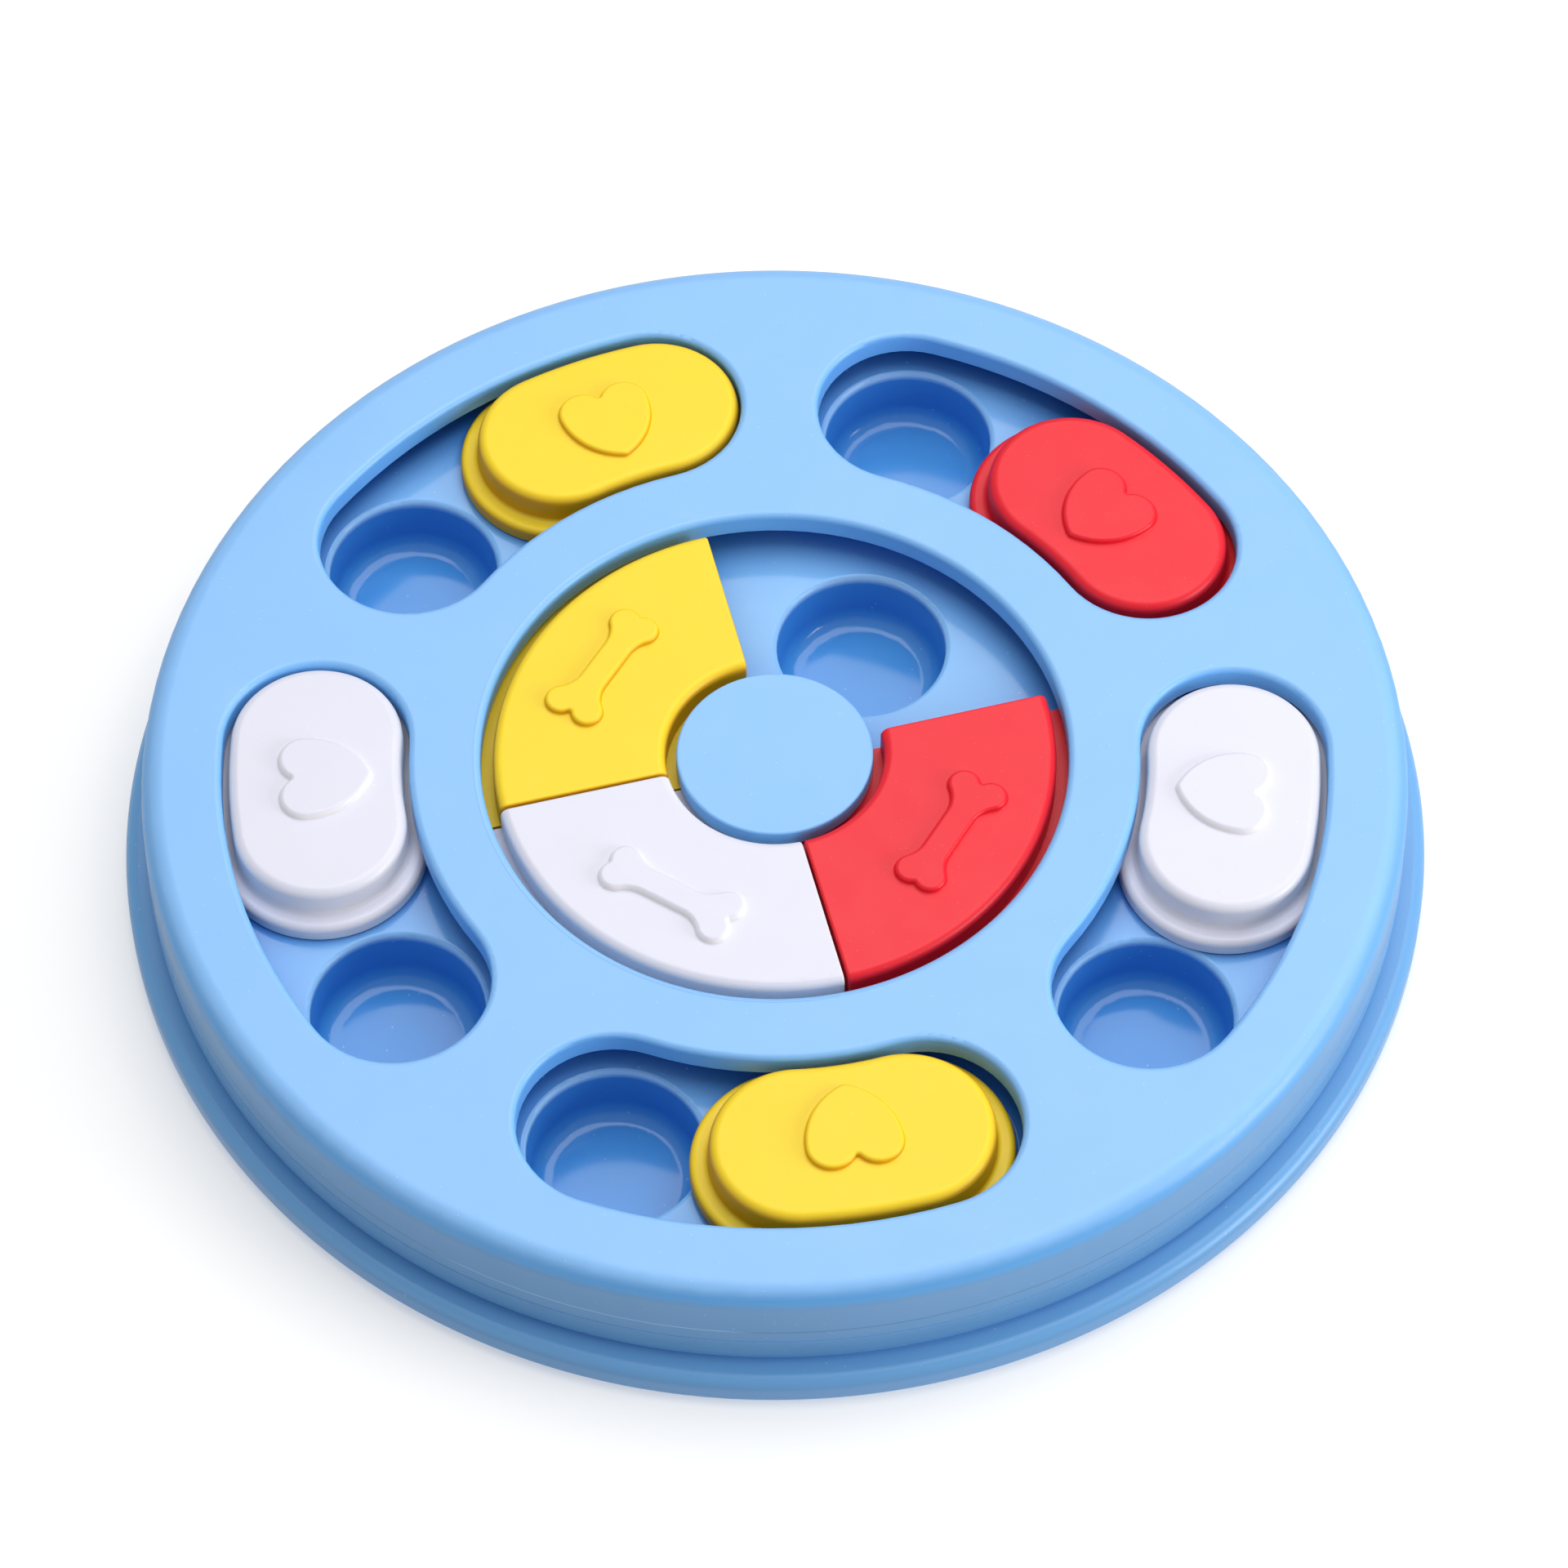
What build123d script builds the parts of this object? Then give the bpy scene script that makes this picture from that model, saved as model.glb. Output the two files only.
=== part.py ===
# Dog puzzle feeder toy.
# A round tray of treat wells lies under a cover with windows.  Five kidney-shaped
# sliders run in arc-slot windows, and three quarter-circle tiles turn about a hub.
# Millimetres, z = 0 on the table, z axis through the hub.
import os
from math import asin, degrees

from build123d import *

os.makedirs("parts", exist_ok=True)

# Cover, from its edge inwards
cover_radius = 120.5
outer_band = 15.6  # cover's edge to the outer windows
window_half_width = 17.75
middle_band = 13.55  # outer windows to the centre window
plate_thickness = 2.4
cover_edge_radius = 4.5
window_edge_radius = 1.3
inside_corner_radius = 1.5
skirt_wall = 3.0
skirt_fit = 0.2  # skirt to the tray's wall
skirt_gap = 0.3  # skirt to the base's flange
skirt_draft = 0.3
skirt_land = 0.4  # flat left on the skirt's foot
parting_height = 7.5  # flange top to the mould's parting line
parting_step = 0.15  # the cover steps in by this above the line
rim_wall = 2.0
cover_rib_width = 1.6

# Windows and the wells under them
window_count = 5
first_window_angle = 54.0  # degrees
window_cap_angle = 19.1  # degrees from a window's middle to its end-cap centre
outer_well_angle = 19.0  # degrees each side of a window's middle
inner_well_count = 4
inner_well_angle = 63.0  # degrees
well_margin = 0.9  # a well's mouth to the edges of the tiles' ring
well_depth = 12.4
well_taper = 1.0  # mouth radius less floor radius
well_corner_radius = 4.0
well_lip_radius = 1.0
well_wall = 2.0

# Base tray
base_ledge = 4.5  # base's edge beyond the cover
base_wall = 2.0
flange_height = 6.2
flange_edge_radius = 2.4
flange_lower_radius = 1.2
floor_rise = 12.4  # flange top to tray floor
floor_thickness = 2.0
rib_width = 1.6
rib_depth = 6.0

# Heights above the tray floor
channel_height = 5.45  # tray floor to the rims' lower edge
rim_depth = 4.75  # rims' lower edge to the cover's top
slide_gap = 0.3  # lips to tray floor
lip_thickness = 3.3

# Sliders
knob_side_gap = 1.15
knob_cap_angle = 6.6
knob_set_down = 0.2  # below the cover's top
knob_draft_angle = 3.0  # degrees
knob_edge_radius = 2.0
knob_foot_radius = 1.0
slider_lip_width = 3.4
lip_edge_radius = 1.4
moulding_wall = 2.0
stop_gap = 0.3  # knob to window end at either end of its run
red_slider_angle = -11.9  # degrees from its window's middle
front_slider_angle = 10.1
right_slider_angle = 11.85

# Tiles
tile_rim_gap = 2.35  # tile to the centre window
tile_hub_gap = 2.0
tile_side_gap = 0.2  # each side face to its radial line
tile_set_down = 0.4
tile_rim_radius = 1.8  # along both arcs
tile_edge_radius = 0.5
tile_outer_lip = 4.3
tile_stem_gap = 0.5
tile_yellow_angle = 104.8  # degrees
tile_white_angle = 195.0
tile_red_angle = 285.3

# Hub cap
hub_radius = 18.7
hub_set_down = 1.1
hub_edge_radius = 0.5
hub_disc_thickness = 2.4
hub_rim_wall = 1.8
hub_overlap = 3.7  # hub's edge beyond its stem
hub_stem_wall = 2.0

# Raised heart and bone
emboss_height = 1.3
emboss_edge_radius = 0.8
emboss_foot_radius = 0.4
heart_width = 18.2
heart_length = 17.6
heart_lobe_overlap = 1.0
heart_tip_radius = 1.5
heart_notch_radius = 0.5
heart_set_in = 2.1  # its middle from the window circle, towards the hub
bone_set_out = 0.9  # its middle from the tile's middle, towards the rim
bone_length = 28.0
bone_head_width = 12.0
bone_tail_width = 10.2
bone_lobe_overlap = 0.4  # of the two lobes at the wider end
bone_shaft_width = 5.6
bone_neck_radius = 6.0
bone_notch_radius = 0.5

# Screws and bosses
screw_radius = 1.5
screw_fit = 0.05
screw_length = 13.0
screw_head_radius = 2.9
screw_head_height = 2.0
screw_head_edge = 0.8
screw_tip = 0.6
screw_seat_drop = 7.4  # tray floor to the head's seat
head_clearance = 0.5
cover_boss_radius = 3.9
tray_boss_radius = 5.0
tray_boss_length = 14.0
pilot_spare = 1.0

# Feet
foot_proud = 0.8  # rubber that shows below the base
foot_radius = 6.0
foot_thickness = 2.2
foot_edge_radius = 0.5
foot_fit = 0.15
foot_post_wall = 1.8
foot_inset = 9.3  # foot's middle to the outside of the tray's wall

# Heights that follow
base_bottom = foot_proud
flange_top = base_bottom + flange_height
floor_top = flange_top + floor_rise
floor_under = floor_top - floor_thickness
rim_bottom = floor_top + channel_height
cover_top = rim_bottom + rim_depth
plate_under = cover_top - plate_thickness
parting_z = flange_top + parting_height
skirt_bottom = flange_top + skirt_gap
well_bottom = floor_top - well_depth
lip_bottom = floor_top + slide_gap
lip_top = lip_bottom + lip_thickness
knob_top = cover_top - knob_set_down
tile_top = cover_top - tile_set_down
hub_top = cover_top - hub_set_down
screw_seat = floor_top - screw_seat_drop
boss_bottom = floor_under - tray_boss_length
screw_tip_z = screw_seat + screw_length

# Radii that follow
window_circle = cover_radius - outer_band - window_half_width
centre_window_radius = window_circle - window_half_width - middle_band
skirt_inner = cover_radius - skirt_wall
spigot_radius = skirt_inner - skirt_fit
base_radius = cover_radius + base_ledge
foot_circle = spigot_radius - foot_inset
knob_half_width = window_half_width - knob_side_gap
lip_half_width = knob_half_width + slider_lip_width
tile_outer_radius = centre_window_radius - tile_rim_gap
tile_inner_radius = hub_radius + tile_hub_gap
tile_lip_outer = tile_outer_radius + tile_outer_lip
hub_stem_radius = hub_radius - hub_overlap
tile_lip_inner = hub_stem_radius + tile_stem_gap
bone_circle = (tile_inner_radius + tile_outer_radius) / 2 + bone_set_out
inner_well_circle = (tile_outer_radius + hub_radius) / 2
well_mouth_radius = (tile_outer_radius - hub_radius) / 2 - well_margin
well_floor_radius = well_mouth_radius - well_taper
ring_rib_radius = (inner_well_circle + window_circle) / 2
heart_lobe_radius = (heart_width + heart_lobe_overlap) / 4
bone_lobe_radius = (bone_head_width + bone_lobe_overlap) / 4
pilot_radius = screw_radius + screw_fit

# Angles that follow
window_pitch_angle = 360 / window_count
first_bridge_angle = first_window_angle - window_pitch_angle / 2
slider_run_angle = window_cap_angle - knob_cap_angle + degrees((knob_side_gap - stop_gap) / window_circle)

# Middle lines of the arc slots
window_arc = CenterArc((0, 0), window_circle, -window_cap_angle, 2 * window_cap_angle)
knob_arc = CenterArc((0, 0), window_circle, -knob_cap_angle, 2 * knob_cap_angle)


def corner(section, x, y):
    """The vertex of a sketch nearest to a point."""
    return section.vertices().sort_by_distance((x, y))[0]


def save(part, name):
    """Label a finished piece and write it."""
    part.label = name
    export_step(part, f"parts/{name}.step")


# Cover: a revolved shell, with deep rims round its windows
with BuildPart() as top_cover:
    skirt_foot = cover_radius - skirt_draft
    with BuildSketch(Plane.XZ) as cover_section:
        with BuildLine():
            Polyline(
                (0, plate_under),
                (skirt_inner, plate_under),
                (skirt_inner, skirt_bottom),
                (skirt_foot, skirt_bottom),
                (cover_radius, parting_z),
                (cover_radius - parting_step, parting_z),
                (skirt_foot, cover_top),
                (0, cover_top),
                close=True,
            )
        make_face()
        fillet(corner(cover_section, skirt_foot, cover_top), cover_edge_radius)
        fillet(corner(cover_section, skirt_foot, skirt_bottom), skirt_foot - skirt_inner - skirt_land)
        fillet(corner(cover_section, skirt_inner, plate_under), inside_corner_radius)
    revolve(axis=Axis.Z)

    with BuildSketch(Plane.XY.offset(rim_bottom)):
        with PolarLocations(0, window_count, first_window_angle):
            SlotArc(window_arc, 2 * (window_half_width + rim_wall))
        Circle(centre_window_radius + rim_wall)
        with PolarLocations((centre_window_radius + skirt_inner) / 2, window_count, first_bridge_angle):
            Rectangle(skirt_inner - centre_window_radius, cover_rib_width)
    extrude(amount=plate_under - rim_bottom)

    with BuildSketch(Plane.XY.offset(cover_top)):
        with PolarLocations(0, window_count, first_window_angle):
            SlotArc(window_arc, 2 * window_half_width)
        Circle(centre_window_radius)
    extrude(amount=-(cover_top - rim_bottom), mode=Mode.SUBTRACT)
    window_edges = top_cover.faces().sort_by(Axis.Z)[-1].inner_wires().edges()
    fillet(window_edges, window_edge_radius)

    with BuildSketch(Plane.XY.offset(floor_top)):
        with PolarLocations(window_circle, window_count, first_bridge_angle):
            Circle(cover_boss_radius)
    extrude(amount=plate_under - floor_top)
    with BuildSketch(Plane.XY.offset(floor_top)):
        with PolarLocations(window_circle, window_count, first_bridge_angle):
            Circle(pilot_radius)
    extrude(amount=screw_tip_z + pilot_spare - floor_top, mode=Mode.SUBTRACT)
save(top_cover.part, "top_cover")


# One treat well, as a cup to add and a bore to cut
with BuildPart() as well_cup:
    with BuildSketch(Plane.XZ) as cup_section:
        with BuildLine():
            Polyline(
                (0, well_bottom - well_wall),
                (well_floor_radius + well_wall, well_bottom - well_wall),
                (well_mouth_radius + well_wall, floor_under),
                (0, floor_under),
                close=True,
            )
        make_face()
        fillet(
            corner(cup_section, well_floor_radius + well_wall, well_bottom - well_wall),
            well_corner_radius + well_wall,
        )
    revolve(axis=Axis.Z)

with BuildPart() as well_bore:
    with BuildSketch(Plane.XZ) as bore_section:
        with BuildLine():
            Polyline(
                (0, well_bottom),
                (well_floor_radius, well_bottom),
                (well_mouth_radius, floor_top),
                (0, floor_top),
                close=True,
            )
        make_face()
        fillet(corner(bore_section, well_floor_radius, well_bottom), well_corner_radius)
    revolve(axis=Axis.Z)

outer_wells_before = PolarLocations(window_circle, window_count, first_window_angle - outer_well_angle)
outer_wells_after = PolarLocations(window_circle, window_count, first_window_angle + outer_well_angle)
inner_wells = PolarLocations(inner_well_circle, inner_well_count, inner_well_angle)
well_places = (
    outer_wells_before.locations + outer_wells_after.locations + inner_wells.locations
)

# Base tray: a revolved shell with its wells, bosses, posts and ribs
with BuildPart() as base_tray:
    wall_inner = spigot_radius - base_wall
    lip_inner = base_radius - base_wall
    flange_under = flange_top - base_wall
    with BuildSketch(Plane.XZ) as base_section:
        with BuildLine():
            Polyline(
                (0, floor_under),
                (wall_inner, floor_under),
                (wall_inner, flange_under),
                (lip_inner, flange_under),
                (lip_inner, base_bottom),
                (base_radius, base_bottom),
                (base_radius, flange_top),
                (spigot_radius, flange_top),
                (spigot_radius, floor_top),
                (0, floor_top),
                close=True,
            )
        make_face()
        fillet(corner(base_section, base_radius, flange_top), flange_edge_radius)
        fillet(corner(base_section, base_radius, base_bottom), flange_lower_radius)
    revolve(axis=Axis.Z)

    with Locations(*well_places):
        add(well_cup.part)

    with BuildSketch(Plane.XY.offset(boss_bottom)):
        Circle(tray_boss_radius)
        with PolarLocations(window_circle, window_count, first_bridge_angle):
            Circle(tray_boss_radius)
    extrude(amount=floor_under - boss_bottom)
    with BuildSketch(Plane.XY.offset(base_bottom)):
        with PolarLocations(foot_circle, window_count, first_bridge_angle):
            Circle(foot_radius + foot_fit + foot_post_wall)
    extrude(amount=floor_under - base_bottom)

    rib_outer_length = wall_inner - ring_rib_radius
    rib_inner_length = ring_rib_radius - tray_boss_radius
    with BuildSketch(Plane.XY.offset(floor_under - rib_depth)):
        Circle(ring_rib_radius + rib_width / 2)
        Circle(ring_rib_radius - rib_width / 2, mode=Mode.SUBTRACT)
        with PolarLocations((wall_inner + ring_rib_radius) / 2, window_count, first_window_angle):
            Rectangle(rib_outer_length, rib_width)
        inner_rib_angle = inner_well_angle + 180 / inner_well_count
        with PolarLocations((ring_rib_radius + tray_boss_radius) / 2, inner_well_count, inner_rib_angle):
            Rectangle(rib_inner_length, rib_width)
    extrude(amount=rib_depth)

    with Locations(*well_places):
        add(well_bore.part, mode=Mode.SUBTRACT)
    well_mouths = base_tray.faces().sort_by(Axis.Z)[-1].inner_wires()
    fillet(well_mouths.edges(), well_lip_radius)

    with BuildSketch(Plane.XY.offset(boss_bottom)):
        Circle(screw_head_radius + head_clearance)
        with PolarLocations(window_circle, window_count, first_bridge_angle):
            Circle(screw_head_radius + head_clearance)
    extrude(amount=screw_seat - boss_bottom, mode=Mode.SUBTRACT)
    with BuildSketch(Plane.XY.offset(screw_seat)):
        Circle(pilot_radius)
        with PolarLocations(window_circle, window_count, first_bridge_angle):
            Circle(pilot_radius)
    extrude(amount=floor_top - screw_seat, mode=Mode.SUBTRACT)
    with BuildSketch(Plane.XY.offset(base_bottom)):
        with PolarLocations(foot_circle, window_count, first_bridge_angle):
            Circle(foot_radius + foot_fit)
    extrude(amount=foot_thickness - foot_proud, mode=Mode.SUBTRACT)
save(base_tray.part, "base_tray")


# Hub cap: a disc whose rim and stem keep the tiles' inner lips under it
with BuildPart() as hub_cap:
    with BuildSketch(Plane.XZ) as hub_section:
        with BuildLine():
            hub_under = hub_top - hub_disc_thickness
            Polyline(
                (pilot_radius, floor_top),
                (cover_boss_radius, floor_top),
                (cover_boss_radius, hub_under),
                (hub_stem_radius - hub_stem_wall, hub_under),
                (hub_stem_radius - hub_stem_wall, floor_top),
                (hub_stem_radius, floor_top),
                (hub_stem_radius, hub_under),
                (hub_radius - hub_rim_wall, hub_under),
                (hub_radius - hub_rim_wall, rim_bottom),
                (hub_radius, rim_bottom),
                (hub_radius, hub_top),
                (0, hub_top),
                (0, screw_tip_z + pilot_spare),
                (pilot_radius, screw_tip_z + pilot_spare),
                close=True,
            )
        make_face()
        fillet(corner(hub_section, hub_radius, hub_top), hub_edge_radius)
    revolve(axis=Axis.Z)
save(hub_cap.part, "hub_cap")


# Raised heart, drawn with x outwards from the hub and its point towards the hub
with BuildSketch() as heart:
    lobe_x = heart_length / 2 - heart_lobe_radius
    lobe_y = heart_width / 2 - heart_lobe_radius
    notch_angle = degrees(asin(lobe_y / heart_lobe_radius))
    with BuildLine():
        lobe = CenterArc((lobe_x, lobe_y), heart_lobe_radius, -notch_angle, 90 + notch_angle)
        side = TangentArc(lobe @ 1, (-heart_length / 2, 0), tangent=lobe % 1)
        Line(side @ 1, lobe @ 0)
    make_face()
    mirror(about=Plane.XZ)
    fillet(corner(heart, (side @ 1).X, 0), heart_tip_radius)
    fillet(corner(heart, (lobe @ 0).X, 0), heart_notch_radius)

# Raised bone, drawn along y, its wider end first
with BuildSketch() as bone:
    bone_end = bone_length / 2 - bone_lobe_radius
    Rectangle(bone_shaft_width, 2 * bone_end)
    with Locations((0, bone_end)):
        with GridLocations(bone_head_width - 2 * bone_lobe_radius, 0, 2, 1):
            Circle(bone_lobe_radius)
    with Locations((0, -bone_end)):
        with GridLocations(bone_tail_width - 2 * bone_lobe_radius, 0, 2, 1):
            Circle(bone_lobe_radius)
    fillet(bone.vertices().group_by(Axis.X)[1], bone_notch_radius)
    fillet(bone.vertices().group_by(Axis.X)[-1], bone_neck_radius)
    fillet(bone.vertices().group_by(Axis.X)[0], bone_neck_radius)

# Slider, built about the x axis: a hollow knob on a wide lip
with BuildPart() as slider_form:
    with BuildSketch(Plane.XY.offset(lip_bottom)):
        SlotArc(knob_arc, 2 * lip_half_width)
    extrude(amount=lip_thickness)
    fillet(slider_form.faces().sort_by(Axis.Z)[-1].edges(), lip_edge_radius)
    with BuildSketch(Plane.XY.offset(lip_top)):
        SlotArc(knob_arc, 2 * knob_half_width)
    extrude(amount=knob_top - lip_top, taper=knob_draft_angle)
    fillet(slider_form.faces().sort_by(Axis.Z)[-1].edges(), knob_edge_radius)
    lip_face = slider_form.faces().filter_by(Axis.Z).sort_by(Axis.Z)[1]
    fillet(lip_face.inner_wires().edges(), knob_foot_radius)
    with BuildSketch(Plane.XY.offset(lip_bottom)):
        SlotArc(knob_arc, 2 * (knob_half_width - moulding_wall))
    extrude(amount=knob_top - moulding_wall - lip_bottom, taper=knob_draft_angle, mode=Mode.SUBTRACT)
    with BuildSketch(Plane.XY.offset(knob_top)):
        with Locations((window_circle - heart_set_in, 0)):
            add(heart.sketch)
    extrude(amount=emboss_height)
    raised_face = slider_form.faces().sort_by(Axis.Z)[-1]
    fillet(raised_face.edges(), emboss_edge_radius)
    top_face = slider_form.faces().filter_by(Axis.Z).sort_by(Axis.Z)[-2]
    fillet(top_face.inner_wires().edges(), emboss_foot_radius)

# Each slider: its window, counted from the first, and its rest angle from the window's middle
sliders = {
    "slider_red": (0, red_slider_angle),
    "slider_yellow_rear": (1, -slider_run_angle),
    "slider_white_left": (2, -slider_run_angle),
    "slider_yellow_front": (3, front_slider_angle),
    "slider_white_right": (4, right_slider_angle),
}
for name, (window, rest) in sliders.items():
    with BuildPart() as slider:
        with Locations(Rotation(0, 0, first_window_angle + window * window_pitch_angle + rest)):
            add(slider_form.part)
    save(slider.part, name)


# Tile, built over the first quadrant: a hollow sector with a lip at either arc
with BuildPart() as tile_form:
    with BuildSketch(Plane.XZ) as tile_section:
        with Locations((tile_inner_radius, lip_bottom)):
            Rectangle(
                tile_outer_radius - tile_inner_radius,
                tile_top - lip_bottom,
                align=(Align.MIN, Align.MIN),
            )
        fillet(corner(tile_section, tile_outer_radius, tile_top), tile_rim_radius)
        fillet(corner(tile_section, tile_inner_radius, tile_top), tile_rim_radius)
        with Locations((tile_lip_inner, lip_bottom)):
            Rectangle(tile_lip_outer - tile_lip_inner, lip_thickness, align=(Align.MIN, Align.MIN))
    revolve(axis=Axis.Z, revolution_arc=90)
    with BuildSketch(Plane.XY.offset(lip_bottom)):
        with Locations((tile_side_gap, tile_side_gap)):
            Rectangle(tile_lip_outer, tile_lip_outer, align=(Align.MIN, Align.MIN))
    extrude(amount=tile_top - lip_bottom, mode=Mode.INTERSECT)

    side_faces = tile_form.faces().sort_by(Axis.X)[:1] + tile_form.faces().sort_by(Axis.Y)[:1]
    side_edges = side_faces.edges().filter_by_position(Axis.Z, lip_top + tile_edge_radius, tile_top)
    fillet(side_edges, tile_edge_radius)

    with BuildSketch(Plane.XY.offset(lip_bottom)):
        Circle(tile_outer_radius - moulding_wall)
        Circle(tile_inner_radius + moulding_wall, mode=Mode.SUBTRACT)
        with Locations((tile_side_gap + moulding_wall, tile_side_gap + moulding_wall)):
            Rectangle(
                tile_outer_radius, tile_outer_radius, align=(Align.MIN, Align.MIN), mode=Mode.INTERSECT
            )
    extrude(amount=tile_top - moulding_wall - lip_bottom, mode=Mode.SUBTRACT)
    with BuildSketch(Plane.XY.offset(tile_top)):
        with PolarLocations(bone_circle, 1, 45):
            add(bone.sketch)
    extrude(amount=emboss_height)
    raised_face = tile_form.faces().sort_by(Axis.Z)[-1]
    fillet(raised_face.edges(), emboss_edge_radius)
    top_face = tile_form.faces().filter_by(Axis.Z).sort_by(Axis.Z)[-2]
    fillet(top_face.inner_wires().edges(), emboss_foot_radius)

tiles = {
    "tile_yellow": tile_yellow_angle,
    "tile_white": tile_white_angle,
    "tile_red": tile_red_angle,
}
for name, start in tiles.items():
    with BuildPart() as tile:
        with Locations(Rotation(0, 0, start)):
            add(tile_form.part)
    save(tile.part, name)


# Self-tapping screw, head down
with BuildPart() as screw_form:
    with BuildSketch(Plane.XZ) as screw_section:
        with BuildLine():
            Polyline(
                (0, screw_seat - screw_head_height),
                (screw_head_radius, screw_seat - screw_head_height),
                (screw_head_radius, screw_seat),
                (screw_radius, screw_seat),
                (screw_radius, screw_tip_z - screw_tip),
                (screw_radius - screw_tip, screw_tip_z),
                (0, screw_tip_z),
                close=True,
            )
        make_face()
        fillet(
            corner(screw_section, screw_head_radius, screw_seat - screw_head_height),
            screw_head_edge,
        )
    revolve(axis=Axis.Z)
save(screw_form.part, "hub_screw")

with BuildPart() as cover_screws:
    with PolarLocations(window_circle, window_count, first_bridge_angle):
        add(screw_form.part)
save(cover_screws.part, "cover_screws")


# Rubber feet
with BuildPart() as foot_form:
    with BuildSketch():
        Circle(foot_radius)
    extrude(amount=foot_thickness)
    fillet(foot_form.edges().sort_by(Axis.Z)[0], foot_edge_radius)

for number, place in enumerate(PolarLocations(foot_circle, window_count, first_bridge_angle), 1):
    with BuildPart() as foot:
        with Locations(place):
            add(foot_form.part)
    save(foot.part, f"foot_{number}")
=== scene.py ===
import math

import bmesh
import bpy
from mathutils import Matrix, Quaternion, Vector


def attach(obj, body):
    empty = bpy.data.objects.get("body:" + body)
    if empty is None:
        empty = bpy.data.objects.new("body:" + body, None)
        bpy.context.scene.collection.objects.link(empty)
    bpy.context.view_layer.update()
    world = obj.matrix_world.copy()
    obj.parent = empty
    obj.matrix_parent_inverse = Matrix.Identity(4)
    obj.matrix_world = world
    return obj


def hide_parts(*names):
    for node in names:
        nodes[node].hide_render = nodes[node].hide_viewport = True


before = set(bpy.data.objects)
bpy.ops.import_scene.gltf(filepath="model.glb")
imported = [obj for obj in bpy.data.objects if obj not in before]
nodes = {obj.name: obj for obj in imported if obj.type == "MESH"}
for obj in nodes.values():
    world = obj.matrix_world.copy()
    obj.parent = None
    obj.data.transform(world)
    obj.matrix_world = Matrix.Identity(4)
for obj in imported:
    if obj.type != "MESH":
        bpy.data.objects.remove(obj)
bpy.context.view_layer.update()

mm = 0.001


# sRGB hex to the linear values that sockets take
def linear(hexColour):
    parts = [int(hexColour[i:i + 2], 16) / 255 for i in (1, 3, 5)]
    return tuple(c / 12.92 if c <= 0.04045 else ((c + 0.055) / 1.055) ** 2.4
                 for c in parts) + (1.0,)


# One node with its settings. An input is a constant or another node's output
def addNode(material, kind, inputs=None, **settings):
    node = material.node_tree.nodes.new(kind)
    for name, value in settings.items():
        setattr(node, name, value)
    for socket, value in (inputs or {}).items():
        if isinstance(value, bpy.types.NodeSocket):
            material.node_tree.links.new(value, node.inputs[socket])
        else:
            node.inputs[socket].default_value = value
    return node


def newMaterial(name):
    material = bpy.data.materials.new(name)
    material.use_nodes = True
    material.node_tree.nodes.clear()
    return material


# Where a tone comes in: what is read there, and the two values between which it goes from
# none to full. Several readings are multiplied. "up" runs from -1, face down, to 1, face up
skirtSpan = ("radius", 115.5 * mm, 117.2 * mm)
zones = {
    # Painted shade: outside this radius walls and flange take darker copies of the blue; the flange
    # is satin there too
    "outside": [skirtSpan],
    # Painted shade: the cover's skirt darkens towards its foot above the flange
    "foot": [("height", 10.4 * mm, 7.4 * mm)],
    # Painted highlight: the stretch left of the front where the parting line is painted pale
    "lit": [("across", -62 * mm, -55 * mm), ("across", -2 * mm, -8 * mm)],
    # Painted shade: the tray's faces turn a deeper blue where faces close them in, its own or other
    # parts'
    "nook": [("openness", 0.85, 0.25)],
    # Painted shade: faces low in the tray's wells take a deeper blue
    "wellFloor": [("height", 17.4 * mm, 16.4 * mm)],
    # Painted highlight: the wells' walls turn pale towards their rounded mouths
    "lip": [("height", 17.4 * mm, 18.6 * mm)],
    # Painted light: faces that look up take the paler top tone, and walls a tone of their own
    "upward": [("up", 0.3, 0.95)],
    # Painted shade: a deeper band on the rounded top edge of the outer wall
    "shoulder": [("up", 0.12, 0.4), ("up", 0.85, 0.55), skirtSpan],
    "downward": [("up", -0.3, -0.9)]}

# The fine line where the mould's halves meet, round the skirt. It is painted, not modelled: a dark
# hairline of painted shade
witness = {"height": 17.8, "halfWidth": 0.13, "strength": 0.6}

# What all the moulded parts share. Sizes are in millimetres
moulding = {
    "driftSize": 28, "driftDetail": 2.0, "driftRoughness": 0.4,
    # How far the painted shade of closed-in corners looks, and with how many samples
    "nookReach": 16, "nookSamples": 6,
    "fleckCore": 0.04, "fleckRim": 0.09, "fleckChosen": 0.62,
    "rubSize": 7, "rubDetail": 3.0, "rubSpan": (0.3, 0.7), "rubDepth": 0.03,
    "grainSize": 0.4, "grainDetail": 2.0, "grainDepth": 0.02,
    "ior": 1.53, "scatter": 0.12, "scatterDepth": 0.8}
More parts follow.
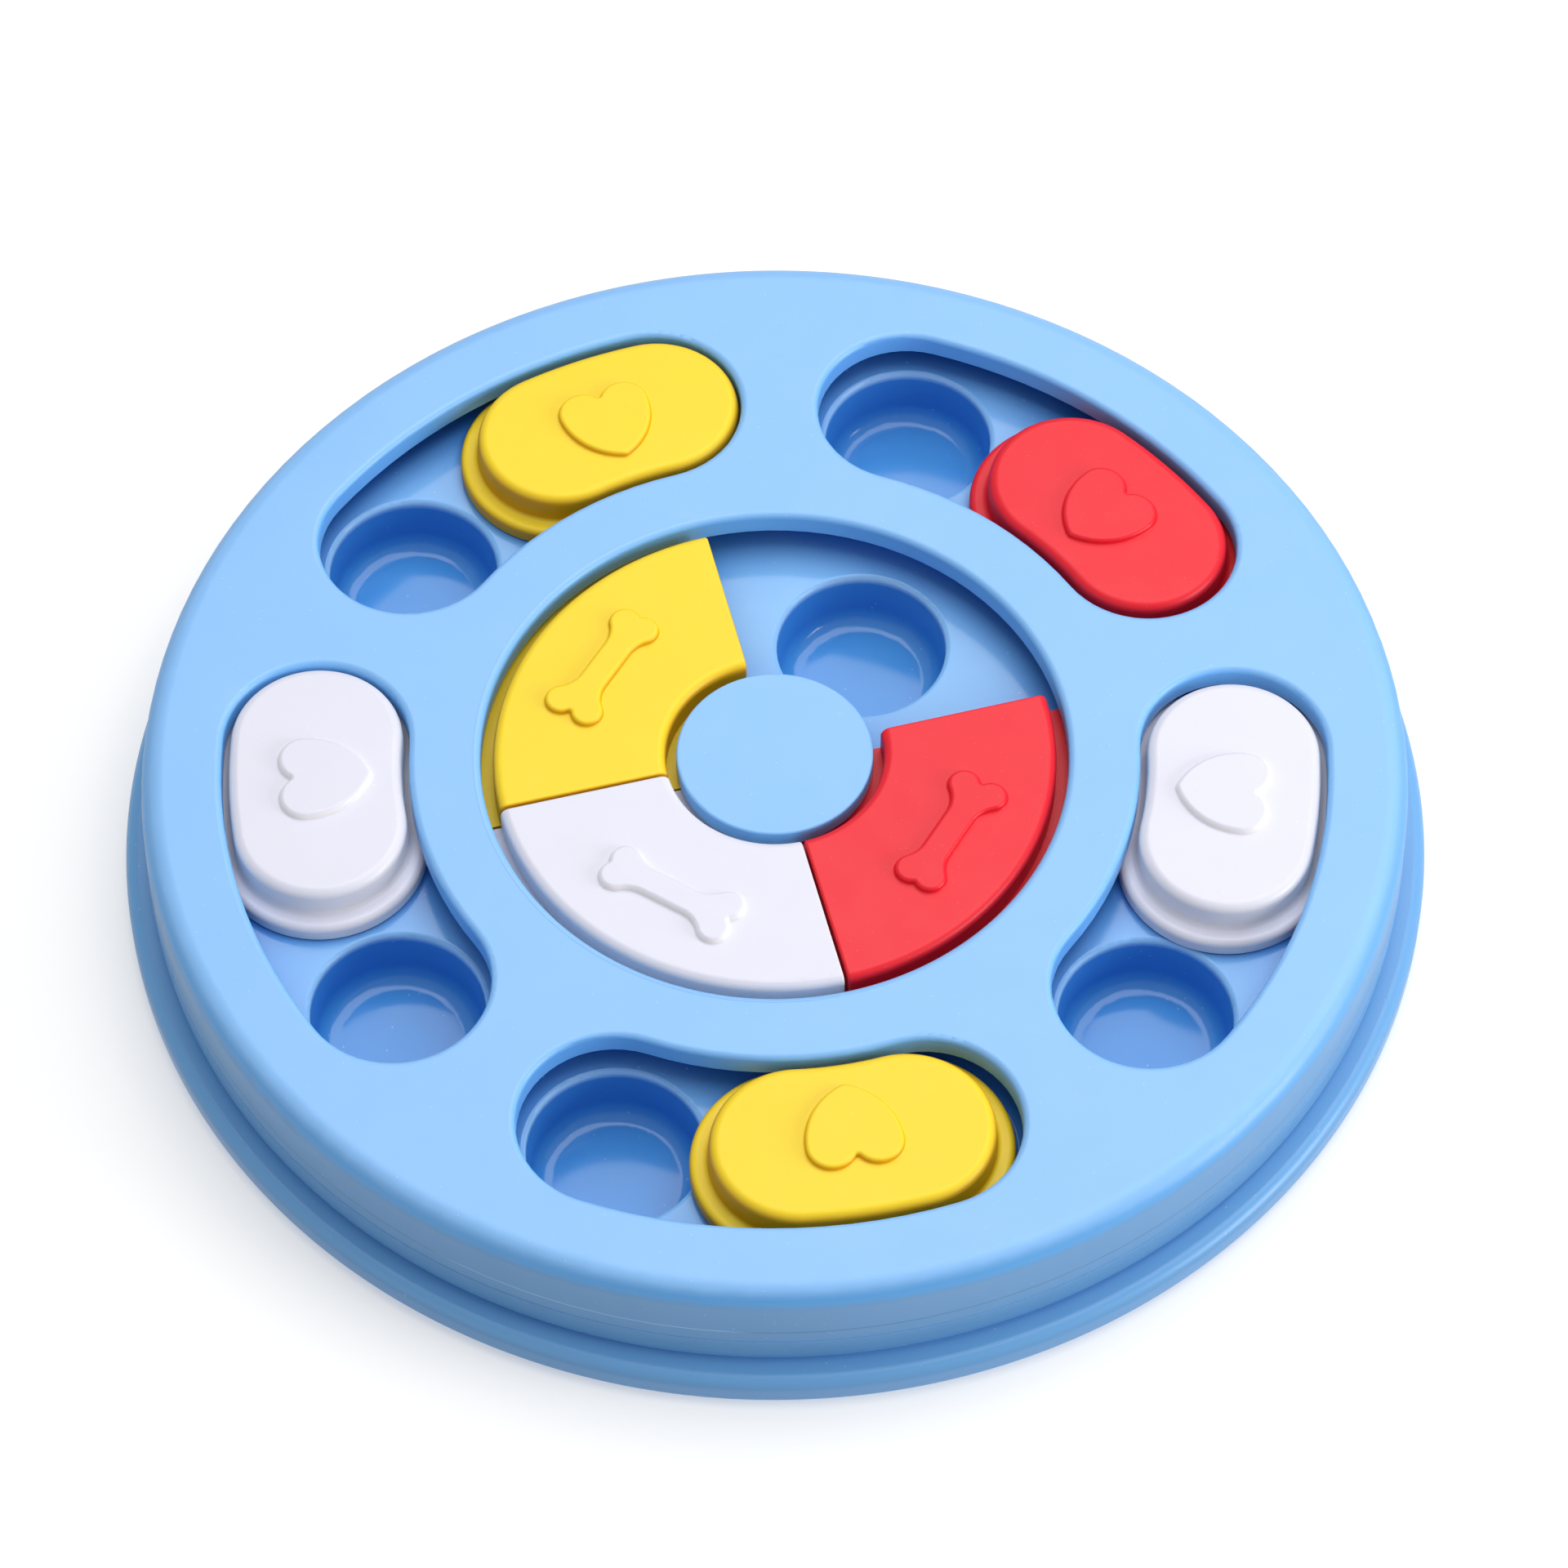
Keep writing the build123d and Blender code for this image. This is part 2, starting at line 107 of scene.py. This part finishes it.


# Injection-moulded ABS. To the eye: a satin skin from a spark-eroded mould, a slow drift of
# tone where the melt cooled unevenly, and sparse pale flecks of colour concentrate. Painted light
# and shade: faces that look up are painted paler than walls, and a well's inside is painted deeper
# still.
def mouldedAbs(name, look):
    material = newMaterial(name)
    coordinates = addNode(material, "ShaderNodeTexCoord")
    place = coordinates.outputs["Object"]
    normal = addNode(material, "ShaderNodeSeparateXYZ", {"Vector": coordinates.outputs["Normal"]})
    axes = addNode(material, "ShaderNodeSeparateXYZ", {"Vector": place})
    flat = addNode(material, "ShaderNodeVectorMath", {
        0: place, 1: (1.0, 1.0, 0.0)}, operation="MULTIPLY").outputs["Vector"]
    outward = addNode(material, "ShaderNodeVectorMath", {0: flat}, operation="LENGTH")
    readings = {"across": axes.outputs["X"], "height": axes.outputs["Z"],
                "radius": outward.outputs["Value"], "up": normal.outputs["Z"]}
    used = {zone for under, over, zone in look["layers"]}
    if "nook" in used:
        readings["openness"] = addNode(material, "ShaderNodeAmbientOcclusion", {
            "Distance": moulding["nookReach"] * mm}, samples=moulding["nookSamples"]).outputs["AO"]

    # How much of each zone there is at a point
    shares = {}
    for zone in sorted(used & set(zones)):
        for reading, none, full in zones[zone]:
            share = addNode(material, "ShaderNodeMapRange", {
                "Value": readings[reading], "From Min": none, "From Max": full}).outputs[0]
            if zone in shares:
                share = addNode(material, "ShaderNodeMath", {
                    0: shares[zone], 1: share}, operation="MULTIPLY").outputs[0]
            shares[zone] = share
    # The parting line's painted shade, a thin band at one height round the cover
    if "witness" in used:
        line = addNode(material, "ShaderNodeMath", {
            0: readings["height"], 1: witness["height"] * mm,
            2: witness["halfWidth"] * mm}, operation="COMPARE").outputs[0]
        shares["witness"] = addNode(material, "ShaderNodeMath", {
            0: line, 1: witness["strength"]}, operation="MULTIPLY").outputs[0]

    # Each layer lays one tone over another in its zone. The wall's tone ends as the whole
    drift = addNode(material, "ShaderNodeTexNoise", {
        "Vector": place, "Scale": 1 / (moulding["driftSize"] * mm),
        "Detail": moulding["driftDetail"], "Roughness": moulding["driftRoughness"]}).outputs["Fac"]
    tones = {part: linear(hexColour) for part, hexColour in look["tones"].items()}
    tones["top"] = addNode(material, "ShaderNodeMix", {
        0: drift, 6: tones["colour"], 7: tones["drift"]}, data_type="RGBA").outputs[2]
    for under, over, zone in look["layers"]:
        tones[under] = addNode(material, "ShaderNodeMix", {
            0: shares[zone], 6: tones[under], 7: tones[over]}, data_type="RGBA").outputs[2]

    # Flecks are about 0.15 mm across in life, drawn at twice that so that they show
    cells = addNode(material, "ShaderNodeTexVoronoi", {
        "Vector": place, "Scale": 1 / (look["fleckSpacing"] * mm)})
    fleck = addNode(material, "ShaderNodeMapRange", {
        "Value": cells.outputs["Distance"], "From Min": moulding["fleckCore"],
        "From Max": moulding["fleckRim"], "To Min": 1.0, "To Max": 0.0}).outputs[0]
    chosen = addNode(material, "ShaderNodeMath", {
        0: cells.outputs["Color"], 1: moulding["fleckChosen"]}, operation="GREATER_THAN").outputs[0]
    for factor in (chosen, look["fleckStrength"]):
        fleck = addNode(material, "ShaderNodeMath", {
            0: fleck, 1: factor}, operation="MULTIPLY").outputs[0]
    colour = addNode(material, "ShaderNodeMix", {
        0: fleck, 6: tones["wall"], 7: tones["fleck"]}, data_type="RGBA").outputs[2]

    # Handling rubs the skin a little smoother in patches of a few millimetres
    polish = look["roughness"]
    if "flangeRoughness" in look:
        polish = addNode(material, "ShaderNodeMapRange", {
            "Value": shares["outside"], "To Min": look["roughness"],
            "To Max": look["flangeRoughness"]}).outputs[0]
    patches = addNode(material, "ShaderNodeTexNoise", {
        "Vector": place, "Scale": 1 / (moulding["rubSize"] * mm),
        "Detail": moulding["rubDetail"]}).outputs["Fac"]
    rub = addNode(material, "ShaderNodeMapRange", {
        "Value": patches, "From Min": moulding["rubSpan"][0], "From Max": moulding["rubSpan"][1],
        "To Min": -moulding["rubDepth"], "To Max": moulding["rubDepth"]}).outputs[0]
    roughness = addNode(material, "ShaderNodeMath", {0: rub, 1: polish}, operation="ADD").outputs[0]

    # Spark-eroded grain is about 0.1 mm, drawn at 0.4 mm so that it shows
    grain = addNode(material, "ShaderNodeTexNoise", {
        "Vector": place, "Scale": 1 / (moulding["grainSize"] * mm),
        "Detail": moulding["grainDetail"]}).outputs["Fac"]
    skin = addNode(material, "ShaderNodeBump", {
        "Height": grain, "Distance": moulding["grainDepth"] * mm,
        "Strength": look["grain"]}).outputs[0]

    surface = addNode(material, "ShaderNodeBsdfPrincipled", {
        "Base Color": colour, "Roughness": roughness, "IOR": moulding["ior"], "Normal": skin,
        "Specular IOR Level": look["shine"],
        "Subsurface Weight": moulding["scatter"], "Subsurface Scale": moulding["scatterDepth"] * mm,
        "Subsurface Radius": look["glow"]})
    addNode(material, "ShaderNodeOutputMaterial", {"Surface": surface.outputs[0]})
    return material


# Thermoplastic rubber. To the eye: nearly black, dull, dusty on the high spots
def feetRubber(name, look):
    material = newMaterial(name)
    place = addNode(material, "ShaderNodeTexCoord").outputs["Object"]
    dust = addNode(material, "ShaderNodeTexNoise", {
        "Vector": place, "Scale": 1 / (look["dustSize"] * mm), "Detail": 4.0}).outputs["Fac"]
    colour = addNode(material, "ShaderNodeMix", {
        0: dust, 6: linear(look["colour"]), 7: linear(look["dust"])}, data_type="RGBA").outputs[2]
    grain = addNode(material, "ShaderNodeBump", {
        "Height": dust, "Distance": look["grainDepth"] * mm, "Strength": 0.5}).outputs[0]
    surface = addNode(material, "ShaderNodeBsdfPrincipled", {
        "Base Color": colour, "Roughness": look["roughness"], "IOR": look["ior"], "Normal": grain})
    addNode(material, "ShaderNodeOutputMaterial", {"Surface": surface.outputs[0]})
    return material


# Zinc-plated steel, tumbled. To the eye: grey metal with a fine unevenness of shine
def zincPlate(name, look):
    material = newMaterial(name)
    place = addNode(material, "ShaderNodeTexCoord").outputs["Object"]
    spangle = addNode(material, "ShaderNodeTexNoise", {
        "Vector": place, "Scale": 1 / (look["spangleSize"] * mm), "Detail": 3.0}).outputs["Fac"]
    roughness = addNode(material, "ShaderNodeMapRange", {
        "Value": spangle, "To Min": look["smooth"], "To Max": look["dull"]}).outputs[0]
    colour = addNode(material, "ShaderNodeMix", {
        0: spangle, 6: linear(look["colour"]), 7: linear(look["shade"])},
        data_type="RGBA").outputs[2]
    surface = addNode(material, "ShaderNodeBsdfPrincipled", {
        "Base Color": colour, "Metallic": 1.0, "Roughness": roughness})
    addNode(material, "ShaderNodeOutputMaterial", {"Surface": surface.outputs[0]})
    return material


# The cover and the hub cap. Their mould is spark-eroded, so they are satin all over
cover = {
    # Painted light and shade in these tones: the window walls, outer wall, its rounded top edge and
    # its foot are deeper copies of the blue, and the parting line is a painted dark hairline with a
    # painted highlight
    "tones": {
        "colour": "#86BDF4", "drift": "#8CC1F6", "wall": "#70B8FA", "outerWallShade": "#5E94C6",
        "shoulder": "#5AA2E0", "foot": "#3F80C2", "fleck": "#E6F2FF",
        "partingLineShade": "#34608C", "partingLineHighlight": "#A6CCF2"},
    "layers": [
        ("wall", "outerWallShade", "outside"), ("wall", "foot", "foot"),
        # The parting line: a dark hairline of painted shade, with a painted highlight only left of
        # the front
        ("partingLineShade", "partingLineHighlight", "lit"), ("wall", "partingLineShade", "witness"),
        ("wall", "top", "upward"), ("wall", "shoulder", "shoulder"),
        ("wall", "colour", "downward")],
    "fleckSpacing": 1.9, "fleckStrength": 0.35, "roughness": 0.40, "grain": 0.25,
    "shine": 0.5, "glow": (0.5, 0.7, 1.0)}

# The tray. Its mould is polished, so the wells shine, and only the flange outside is satin
tray = {
    "tones": {
        # Painted light and shade in these tones: the closed-in corners, well walls and well floors
        # are deeper blues, the outer wall and flange darker copies, and the wells' mouths a paler
        # ring of painted highlight
        "colour": "#7EBAF2", "drift": "#83BDF4", "nook": "#2A78D2", "lip": "#A8D8FF",
        "wall": "#3C8CDC", "wellFloor": "#4E9CE0", "outerWallShade": "#5E96CA", "flange": "#70ACE0",
        "fleck": "#E6F2FF"},
    "layers": [
        ("wall", "outerWallShade", "outside"),
        ("top", "nook", "nook"), ("top", "wellFloor", "wellFloor"), ("top", "flange", "outside"),
        ("wall", "lip", "lip"), ("wall", "top", "upward"), ("wall", "colour", "downward")],
    "fleckSpacing": 2.4, "fleckStrength": 0.3, "roughness": 0.13, "flangeRoughness": 0.33,
    "grain": 0.03, "shine": 0.4, "glow": (0.5, 0.7, 1.0)}

# The sliders and tiles, satin like the cover
# Painted light and shade: tops take the top tone, and walls a deeper one on yellow and red and a
# paler one on white
lidLayers = [("wall", "top", "upward"), ("wall", "colour", "downward")]
yellowLids = {
    "tones": {"colour": "#F7D527", "drift": "#F8D82D", "wall": "#DCA004", "fleck": "#FFF3B0"},
    "layers": lidLayers, "fleckSpacing": 2.6, "fleckStrength": 0.25, "roughness": 0.42,
    "grain": 0.25, "shine": 0.32, "glow": (1.0, 0.8, 0.3)}
redLids = {
    "tones": {"colour": "#E91D2D", "drift": "#EB2333", "wall": "#E0182A", "fleck": "#FFB4B8"},
    "layers": lidLayers, "fleckSpacing": 1.1, "fleckStrength": 0.4, "roughness": 0.40,
    "grain": 0.25, "shine": 0.32, "glow": (1.0, 0.3, 0.3)}
whiteLids = {
    "tones": {"colour": "#DCDCEA", "drift": "#DFDFED", "wall": "#F4F0F0", "fleck": "#FFFFFF"},
    "layers": lidLayers, "fleckSpacing": 2.6, "fleckStrength": 0.3, "roughness": 0.38,
    "grain": 0.25, "shine": 0.5, "glow": (0.8, 0.8, 1.0)}

feet = {"colour": "#26282B", "dust": "#3E4043", "dustSize": 1.5, "grainDepth": 0.03,
        "roughness": 0.75, "ior": 1.5}
plating = {"colour": "#C2C4C8", "shade": "#A7AAAF", "spangleSize": 0.6, "smooth": 0.28,
           "dull": 0.48}

coverSkin = mouldedAbs("satin_blue_abs", cover)
traySkin = mouldedAbs("polished_blue_abs", tray)
yellowSkin = mouldedAbs("satin_yellow_abs", yellowLids)
redSkin = mouldedAbs("satin_red_abs", redLids)
whiteSkin = mouldedAbs("satin_white_abs", whiteLids)
footSkin = feetRubber("dusty_black_rubber", feet)
screwSkin = zincPlate("tumbled_zinc_plate", plating)

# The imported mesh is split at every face, so its rounded edges shade unevenly. The modifiers
# join it up, keep what is sharp, and let the flat faces lead where they run into a rounding
smoothing = {"joinWithin": 0.002, "sharpAngle": 38, "flatWeight": 60, "trayInside": 116}


def dress(nodeName, material):
    node = nodes[nodeName]
    node.data.materials.clear()
    node.data.materials.append(material)
    # The tray's flange is smooth as it is, and is left out
    inside = node.vertex_groups.new(name="inside")
    inside.add([v.index for v in node.data.vertices
                if nodeName != "base_tray" or v.co.xy.length < smoothing["trayInside"] * mm],
               1.0, "REPLACE")
    joined = node.modifiers.new("joined", "WELD")
    joined.merge_threshold = smoothing["joinWithin"] * mm
    joined.vertex_group = "inside"
    sharp = node.modifiers.new("sharp", "EDGE_SPLIT")
    sharp.split_angle = math.radians(smoothing["sharpAngle"])
    even = node.modifiers.new("even", "WEIGHTED_NORMAL")
    even.weight = smoothing["flatWeight"]
    even.vertex_group = "inside"


skins = {
    "top_cover": coverSkin, "hub_cap": coverSkin, "base_tray": traySkin,
    "slider_yellow_rear": yellowSkin, "slider_yellow_front": yellowSkin,
    "slider_white_left": whiteSkin, "slider_white_right": whiteSkin, "slider_red": redSkin,
    "tile_yellow": yellowSkin, "tile_white": whiteSkin, "tile_red": redSkin,
    "cover_screws": screwSkin, "hub_screw": screwSkin,
    "foot_1": footSkin, "foot_2": footSkin, "foot_3": footSkin, "foot_4": footSkin,
    "foot_5": footSkin}
for nodeName, skin in skins.items():
    dress(nodeName, skin)
print("materials done")


# A closed section turned about the toy's axis, in millimetres. Its first faces, as many as
# "seen" says, are smooth, and the rest lie inside the part below
def turnedRing(name, section, seen, turns, skin):
    mesh = bpy.data.meshes.new(name)
    shape = bmesh.new()
    rings = []
    for turn in range(turns):
        angle = math.tau * turn / turns
        rings.append([shape.verts.new((r * math.cos(angle) * mm, r * math.sin(angle) * mm, z * mm))
                      for r, z in section])
    for turn, ring in enumerate(rings):
        nextRing = rings[(turn + 1) % turns]
        for step in range(len(section)):
            after = (step + 1) % len(section)
            face = shape.faces.new((ring[step], nextRing[step], nextRing[after], ring[after]))
            face.smooth = step < seen
    bmesh.ops.recalc_face_normals(shape, faces=shape.faces)
    for edge in shape.edges:
        edge.smooth = all(face.smooth for face in edge.link_faces)
    shape.to_mesh(mesh)
    shape.free()
    piece = bpy.data.objects.new(name, mesh)
    bpy.context.scene.collection.objects.link(piece)
    mesh.materials.append(skin)
    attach(piece, "base")


# Points on a round of an edge, from one angle to another in degrees
def arc(radius, height, reach, start, end, steps):
    tilts = [math.radians(start + (end - start) * step / steps) for step in range(steps + 1)]
    return [(radius + reach * math.cos(tilt), height + reach * math.sin(tilt)) for tilt in tilts]


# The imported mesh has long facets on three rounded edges, so finer ones lie on them.
# First the edge of the centre window
rim = {"wallRadius": 55.85, "round": 1.3, "top": 29.6, "proud": 0.045, "depth": 0.6,
       "turns": 240, "steps": 10}
rimMiddle = (rim["wallRadius"] + rim["round"], rim["top"] - rim["round"])
rimSection = arc(*rimMiddle, rim["round"] + rim["proud"], 180, 90, rim["steps"])
rimSection += [(rimMiddle[0], rim["top"] - rim["depth"]),
               (rim["wallRadius"] + rim["depth"], rimMiddle[1])]
turnedRing("window_rim", rimSection, rim["steps"], rim["turns"], coverSkin)

# Then the flange's outer edge, round above and below. "inner" lies inside the flange's wall
flange = {"radius": 125, "top": 7.0, "bottom": 0.8, "upperRound": 2.4, "lowerRound": 1.2,
          "proud": 0.01, "inner": [(123.6, 1.8), (123.6, 4.5), (122.5, 6.2)],
          "turns": 360, "steps": 10}
flangeSection = arc(flange["radius"] - flange["upperRound"], flange["top"] - flange["upperRound"],
                    flange["upperRound"] + flange["proud"], 90, 0, flange["steps"])
flangeSection += arc(flange["radius"] - flange["lowerRound"],
                     flange["bottom"] + flange["lowerRound"],
                     flange["lowerRound"] + flange["proud"], 0, -90, flange["steps"])
turnedRing("flange_edge", flangeSection + flange["inner"], 2 * flange["steps"] + 1,
           flange["turns"], traySkin)

# And the skirt's foot, the round edge above the flange. The skirt leans out by "lean" degrees
skirt = {"radius": 117.994, "height": 9.6, "round": 2.3, "lean": -2.4, "proud": 0.015,
         "inner": [(118.1, 8.0), (119.5, 9.5)], "turns": 360, "steps": 10}
skirtSection = arc(skirt["radius"], skirt["height"], skirt["round"] + skirt["proud"],
                   skirt["lean"], -90, skirt["steps"])
turnedRing("skirt_foot", skirtSection + skirt["inner"], skirt["steps"], skirt["turns"],
           coverSkin)
print("edges done")


# Cross-recess self-tapping screws, heads down in the tray's bosses. In millimetres and degrees
screws = {
    "circle": 87.15, "firstAngle": 18, "count": 5, "sides": 32,
    "headRadius": 2.9, "headHeight": 2.0, "edge": 0.8, "edgeSteps": 6, "faceHeight": 10.0,
    "tipHeight": 25.0, "threadRadius": 1.5, "rootRadius": 1.2, "pitch": 1.1, "ringsPerTurn": 6,
    "pointLength": 1.5, "pointShare": 0.25,
    "arm": 1.5, "armWidth": 0.7, "recessDepth": 1.2, "recessFloor": 0.62,
    "hubTurned": 20, "turnedBy": 37, "sharpAngle": 38}


def addScrew(shape, x, y, turned):
    sides, face = screws["sides"], screws["faceHeight"]
    headTop = face + screws["headHeight"]
    thread = screws["tipHeight"] - headTop
    profile = []
    for step in range(screws["edgeSteps"] + 1):
        tilt = math.radians(90 / screws["edgeSteps"] * step)
        profile.append((screws["headRadius"] - screws["edge"] * (1 - math.sin(tilt)),
                        face + screws["edge"] * (1 - math.cos(tilt))))
    profile += [(screws["headRadius"], headTop), (screws["threadRadius"], headTop)]
    rings = [[shape.verts.new(((x + r * math.cos(a)) * mm, (y + r * math.sin(a)) * mm, z * mm))
              for a in (math.tau * side / sides for side in range(sides))] for r, z in profile]
    threadSteps = int(thread / screws["pitch"] * screws["ringsPerTurn"])
    for step in range(1, threadSteps + 1):
        z = headTop + thread * step / threadSteps
        toTip = (screws["tipHeight"] - z) / screws["pointLength"]
        taper = min(1.0, toTip + screws["pointShare"])
        ring = []
        for side in range(sides):
            a = math.tau * side / sides
            crest = abs(((z - headTop) / screws["pitch"] - side / sides) % 1 * 2 - 1)
            r = screws["rootRadius"] + (screws["threadRadius"] - screws["rootRadius"]) * crest
            ring.append(shape.verts.new(((x + r * taper * math.cos(a)) * mm,
                                         (y + r * taper * math.sin(a)) * mm, z * mm)))
        rings.append(ring)
    for lower, upper in zip(rings, rings[1:]):
        for side in range(sides):
            after = (side + 1) % sides
            shape.faces.new((lower[side], lower[after], upper[after], upper[side])).smooth = True
    shape.faces.new(rings[-1])

    # The driver's recess: a cross that narrows as it goes in
    arm, half = screws["arm"], screws["armWidth"] / 2
    quarter = [(arm, -half), (arm, half), (half, half)]
    levels = []
    for share, z in ((1.0, face), (screws["recessFloor"], face + screws["recessDepth"])):
        level = []
        for turn in range(4):
            a = math.radians(90 * turn + turned)
            for u, v in quarter:
                u, v = u * share, v * (0.5 + share / 2)
                level.append(shape.verts.new(((x + u * math.cos(a) - v * math.sin(a)) * mm,
                                              (y + u * math.sin(a) + v * math.cos(a)) * mm,
                                              z * mm)))
        levels.append(level)
    mouth, bottom = levels
    for side in range(len(mouth)):
        after = (side + 1) % len(mouth)
        shape.faces.new((mouth[side], mouth[after], bottom[after], bottom[side]))
    shape.faces.new(bottom)
    rims = [shape.edges.get((ring[i], ring[(i + 1) % len(ring)]))
            for ring in (rings[0], mouth) for i in range(len(ring))]
    bmesh.ops.triangle_fill(shape, edges=rims, use_beauty=True)


screwMesh = bpy.data.meshes.new("cross_recess_screws")
shape = bmesh.new()
addScrew(shape, 0, 0, screws["hubTurned"])
for number in range(screws["count"]):
    at = math.radians(screws["firstAngle"] + 360 * number / screws["count"])
    addScrew(shape, screws["circle"] * math.cos(at), screws["circle"] * math.sin(at),
             screws["turnedBy"] * number)
bmesh.ops.recalc_face_normals(shape, faces=shape.faces)
for edge in shape.edges:
    edge.smooth = edge.calc_face_angle(0) < math.radians(screws["sharpAngle"])
shape.to_mesh(screwMesh)
shape.free()
crossScrews = bpy.data.objects.new("cross_recess_screws", screwMesh)
bpy.context.scene.collection.objects.link(crossScrews)
screwMesh.materials.append(screwSkin)
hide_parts("cover_screws", "hub_screw")
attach(crossScrews, "base")
print("screws done")


# White floor. The camera sees it near white, and the toy gets only a little light off it
studio = {"floorSize": 3.0, "floorColour": "#DADADA", "floorRoughness": 0.9, "floorLift": 0.35,
          "white": (1.0, 1.0, 1.0, 1.0), "worldStrength": 0.42}

floorMesh = bpy.data.meshes.new("floor")
shape = bmesh.new()
bmesh.ops.create_grid(shape, x_segments=4, y_segments=4, size=studio["floorSize"] / 2)
shape.to_mesh(floorMesh)
shape.free()
floor = bpy.data.objects.new("floor", floorMesh)
bpy.context.scene.collection.objects.link(floor)

paper = newMaterial("white_paper")
paperRays = addNode(paper, "ShaderNodeLightPath")
seenAtAll = addNode(paper, "ShaderNodeMath", {
    0: paperRays.outputs["Is Camera Ray"],
    1: paperRays.outputs["Is Glossy Ray"]}, operation="MAXIMUM").outputs[0]
lift = addNode(paper, "ShaderNodeMath", {
    0: seenAtAll, 1: studio["floorLift"]}, operation="MULTIPLY").outputs[0]
paperFace = addNode(paper, "ShaderNodeBsdfPrincipled", {
    "Base Color": linear(studio["floorColour"]), "Roughness": studio["floorRoughness"],
    "Specular IOR Level": 0.0})
paperLight = addNode(paper, "ShaderNodeEmission", {"Color": studio["white"], "Strength": lift})
paperBoth = addNode(paper, "ShaderNodeAddShader", {
    0: paperFace.outputs[0], 1: paperLight.outputs[0]})
# From below the floor is clear and lets the lowest lamp through, so that the underside shows
clear = addNode(paper, "ShaderNodeBsdfTransparent")
underneath = addNode(paper, "ShaderNodeNewGeometry").outputs["Backfacing"]
letThrough = addNode(paper, "ShaderNodeMath", {
    0: underneath, 1: paperRays.outputs["Is Shadow Ray"]}, operation="MAXIMUM").outputs[0]
oneSided = addNode(paper, "ShaderNodeMixShader", {
    0: letThrough, 1: paperBoth.outputs[0], 2: clear.outputs[0]})
addNode(paper, "ShaderNodeOutputMaterial", {"Surface": oneSided.outputs[0]})
floorMesh.materials.append(paper)

# The camera sees a white room, and the toy a dim one
world = bpy.data.worlds.new("studio")
world.use_nodes = True
world.node_tree.nodes.clear()
worldRays = addNode(world, "ShaderNodeLightPath")
dim = addNode(world, "ShaderNodeBackground", {
    "Color": studio["white"], "Strength": studio["worldStrength"]})
bright = addNode(world, "ShaderNodeBackground", {"Color": studio["white"], "Strength": 1.0})
which = addNode(world, "ShaderNodeMixShader", {
    0: worldRays.outputs["Is Camera Ray"], 1: dim.outputs[0], 2: bright.outputs[0]})
addNode(world, "ShaderNodeOutputWorld", {"Surface": which.outputs[0]})
bpy.context.scene.world = world
print("floor done")


# Soft boxes. Power is in watts, the direction runs from the toy, angles are in degrees
lamps = {
    "keyBox": {"power": 14.0, "size": 1.3, "distance": 1.35, "azimuth": 62, "elevation": 70},
    "rightBox": {"power": 8.0, "size": 0.6, "distance": 1.2, "azimuth": -18, "elevation": 15},
    "fillBox": {"power": 1.6, "size": 0.9, "distance": 1.4, "azimuth": -135, "elevation": 12},
    "underBox": {"power": 5.0, "size": 1.0, "distance": 1.2, "azimuth": -60, "elevation": -75}}
for lampName, lamp in lamps.items():
    data = bpy.data.lights.new(lampName, "AREA")
    data.shape = "SQUARE"
    data.size = lamp["size"]
    data.energy = lamp["power"]
    az, el = math.radians(lamp["azimuth"]), math.radians(lamp["elevation"])
    away = Vector((math.cos(az) * math.cos(el), math.sin(az) * math.cos(el), math.sin(el)))
    box = bpy.data.objects.new(lampName, data)
    box.location = away * lamp["distance"]
    box.rotation_euler = away.to_track_quat("Z", "Y").to_euler()
    bpy.context.scene.collection.objects.link(box)
print("lights done")


# The camera looks down from in front, a long lens far off
shot = {"lens": 139.0, "sensorWidth": 36.0, "clipStart": 0.05, "distance": 1.17933,
        "azimuth": 0.849, "elevation": 54.984, "roll": -0.302, "aim": (0.00156, 0.01272, 0.0)}
cameraData = bpy.data.cameras.new("shot")
cameraData.lens = shot["lens"]
cameraData.sensor_width = shot["sensorWidth"]
cameraData.clip_start = shot["clipStart"]
camera = bpy.data.objects.new("shot", cameraData)
az, el = math.radians(shot["azimuth"]), math.radians(shot["elevation"])
back = Vector((math.sin(az) * math.cos(el), -math.cos(az) * math.cos(el), math.sin(el)))
roll = Quaternion((0, 0, 1), math.radians(shot["roll"]))
camera.location = Vector(shot["aim"]) + back * shot["distance"]
camera.rotation_mode = "QUATERNION"
camera.rotation_quaternion = back.to_track_quat("Z", "Y") @ roll
bpy.context.scene.collection.objects.link(camera)
bpy.context.scene.camera = camera
bpy.context.scene.view_settings.view_transform = "Standard"
print("camera done")
